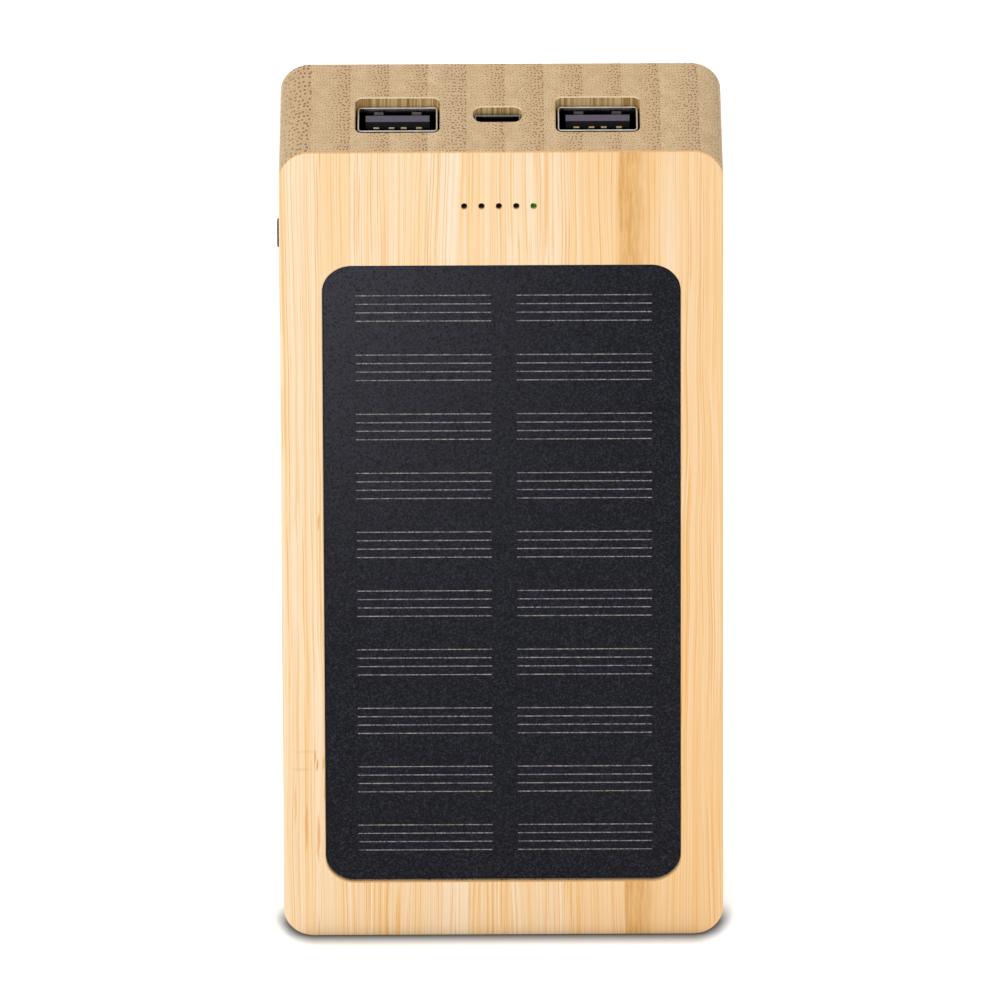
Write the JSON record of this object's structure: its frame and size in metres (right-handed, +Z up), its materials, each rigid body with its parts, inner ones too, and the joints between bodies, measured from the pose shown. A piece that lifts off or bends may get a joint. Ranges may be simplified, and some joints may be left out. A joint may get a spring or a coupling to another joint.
{
  "type": "solar power bank",
  "caption": "Slim bamboo-cased solar power bank: solar panel on the front, charge lights, USB sockets in one end, button on a side.",
  "frame": {"origin": "middle of the case's flat bottom end, half way through its thickness", "axes": "+Z up the case towards the socket end, +X across the front to the right, -Y out of the solar face"},
  "size_m": [0.0729, 0.021, 0.146],
  "materials": {
    "bamboo": "satin, fine straight grain",
    "bamboo_cover": "satin, fine straight grain",
    "screw_steel": "satin",
    "adhesive": "matt",
    "panel_backing": "matt",
    "silicon_cell": "satin",
    "silver_line": "satin",
    "panel_film": "matt with a fine sparkle",
    "red_lead": "satin",
    "black_lead": "satin",
    "circuit_board": "satin",
    "solder": "bright",
    "socket_steel": "polished",
    "socket_plastic": "satin",
    "contact_metal": "bright",
    "led_clear": "satin",
    "led_green": "lit",
    "switch_metal": "satin",
    "black_plastic": "satin",
    "button_plastic": "gloss",
    "ferrite": "matt",
    "copper": "enamelled",
    "chip_black": "matt",
    "capacitor": "satin",
    "resistor": "satin",
    "cell_foil": "satin",
    "cell_tape": "matt",
    "nickel": "satin",
    "foam": "matt"
  },
  "bodies": {
    "case": {"bamboo_body": "bamboo", "back_cover": "bamboo_cover", "cover_screws": "screw_steel", "panel_tape": "adhesive", "panel_board": "panel_backing", "solar_cells": "silicon_cell", "silver_lines": "silver_line", "panel_film": "panel_film", "panel_lead_red": "red_lead", "panel_lead_black": "black_lead", "main_board": "circuit_board", "board_screws": "screw_steel", "solder_joints": "solder", "usb_shell_left": "socket_steel", "usb_shell_right": "socket_steel", "usb_tongue_left": "socket_plastic", "usb_tongue_right": "socket_plastic", "usb_contacts_left": "contact_metal", "usb_contacts_right": "contact_metal", "micro_usb_shell": "socket_steel", "micro_usb_tongue": "socket_plastic", "micro_usb_contacts": "contact_metal", "led_1": "led_clear", "led_2": "led_clear", "led_3": "led_clear", "led_4": "led_clear", "led_5": "led_green", "switch_body": "switch_metal", "power_inductor": "ferrite", "inductor_coil": "copper", "boost_chip": "chip_black", "charge_chip": "chip_black", "port_chip": "chip_black", "capacitors": "capacitor", "resistors": "resistor", "battery_cell_front": "cell_foil", "battery_cell_back": "cell_foil", "cell_tape": "cell_tape", "cell_tabs": "nickel", "protection_board": "circuit_board", "battery_lead_red": "red_lead", "battery_lead_black": "black_lead", "foam_pad_front": "foam", "foam_pad_back": "foam", "foam_pad_end": "foam"},
    "button": {"button_cap": "button_plastic", "switch_plunger": "black_plastic"}
  },
  "joints": [
    {"name": "button_press", "type": "slide", "parent": "case", "child": "button", "axis": [1, 0, 0], "range_m": [0, 0.0003], "stiffness_N_per_m": 1500, "springref_m": -0.0002}
  ]
}
